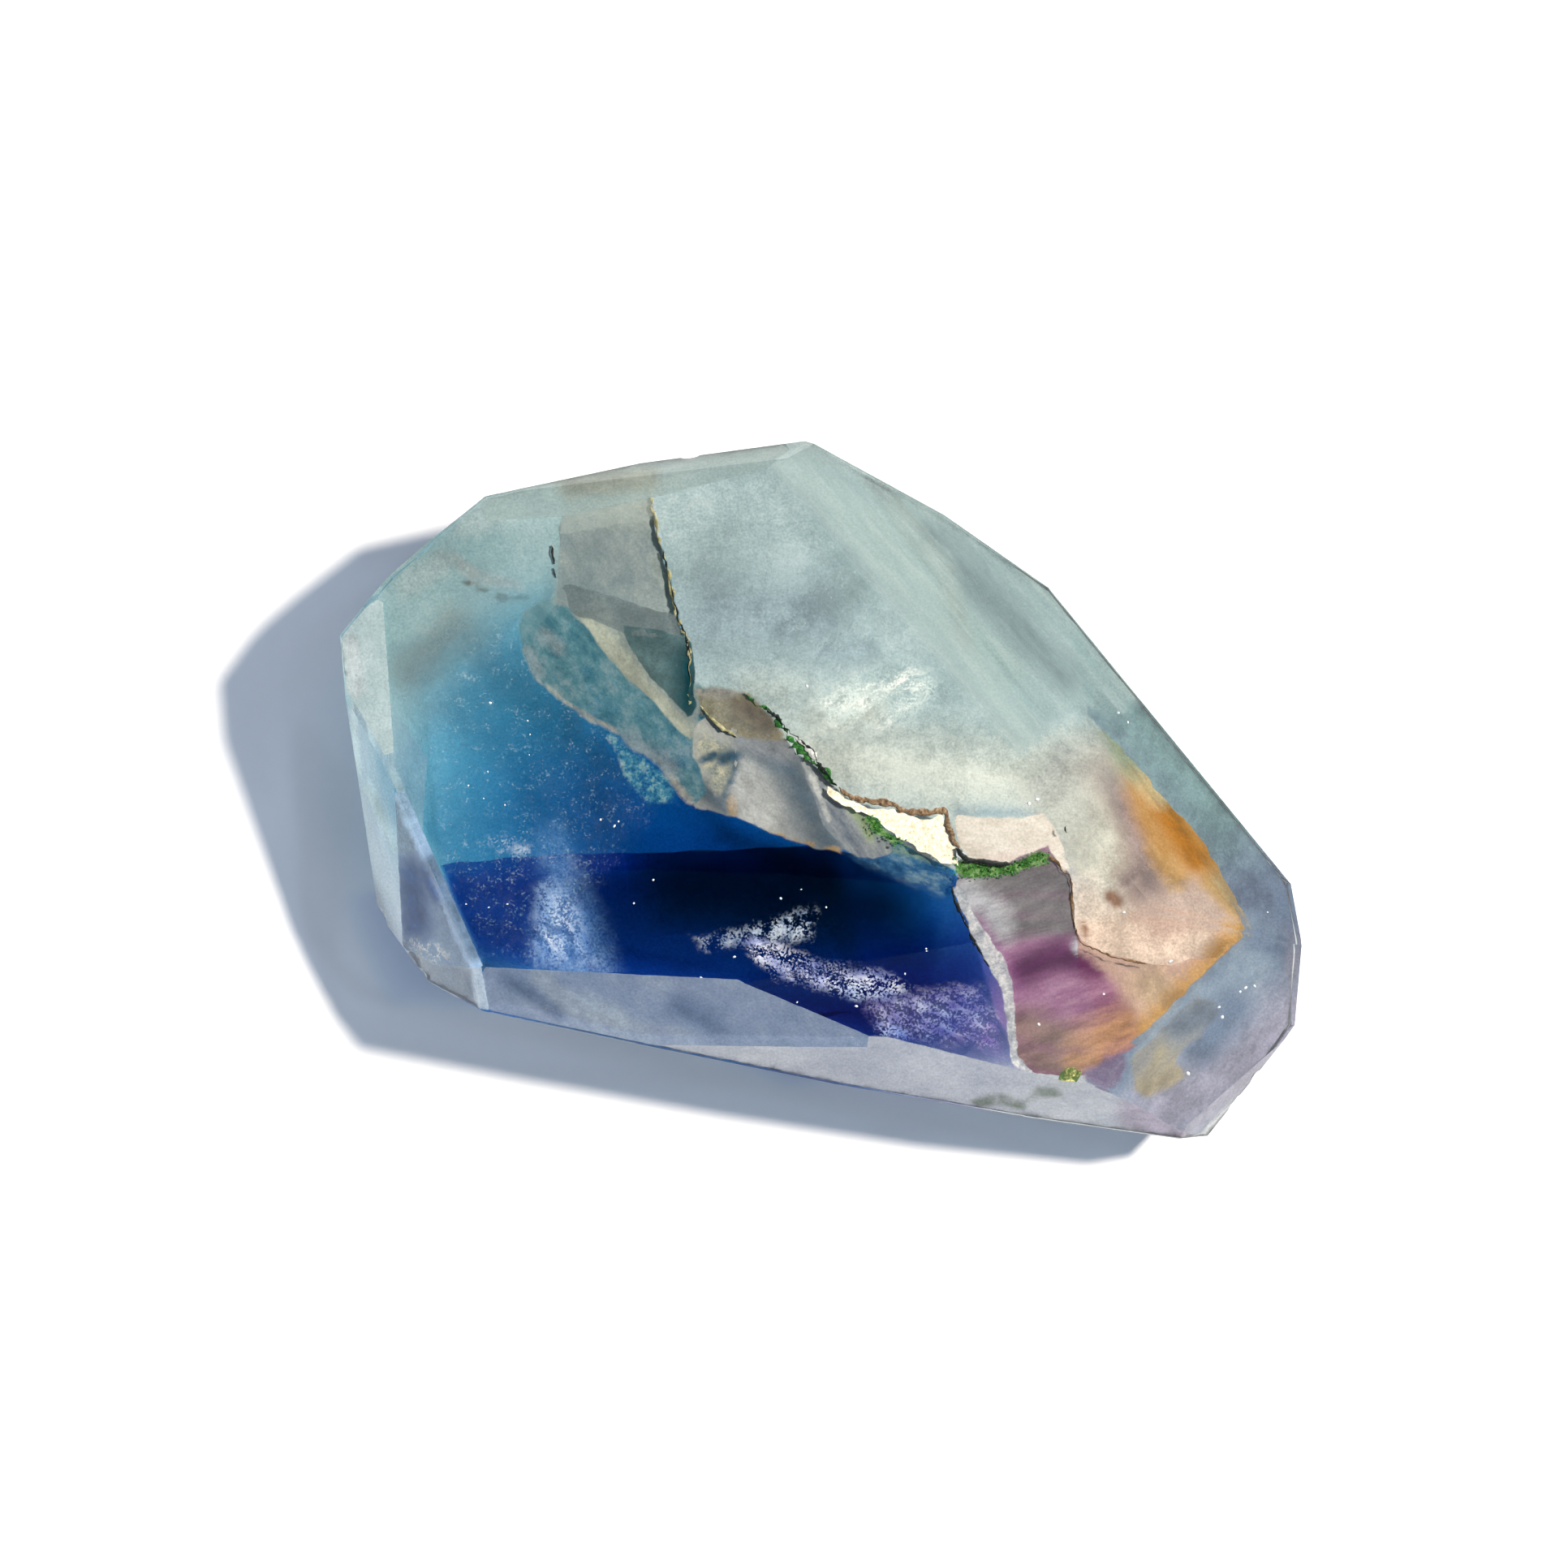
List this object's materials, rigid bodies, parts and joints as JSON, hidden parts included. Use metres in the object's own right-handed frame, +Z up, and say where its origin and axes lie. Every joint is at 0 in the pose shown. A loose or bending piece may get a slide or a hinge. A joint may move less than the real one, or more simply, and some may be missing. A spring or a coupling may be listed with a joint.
{
  "type": "fluorite freeform",
  "caption": "Polished see-through fluorite stone of irregular outline, ground into flat facets, that lies on a flat base.",
  "frame": {"origin": "middle of the stone's box, on the surface that it lies on", "axes": "+X along the stone's length towards its pointed tail, +Y across it towards the back bevel, +Z up out of the large table facet"},
  "size_m": [0.0798, 0.0582, 0.021],
  "materials": {
    "fluorite": "polished"
  },
  "bodies": {
    "root": {"fluorite_stone": "fluorite"}
  },
  "joints": []
}
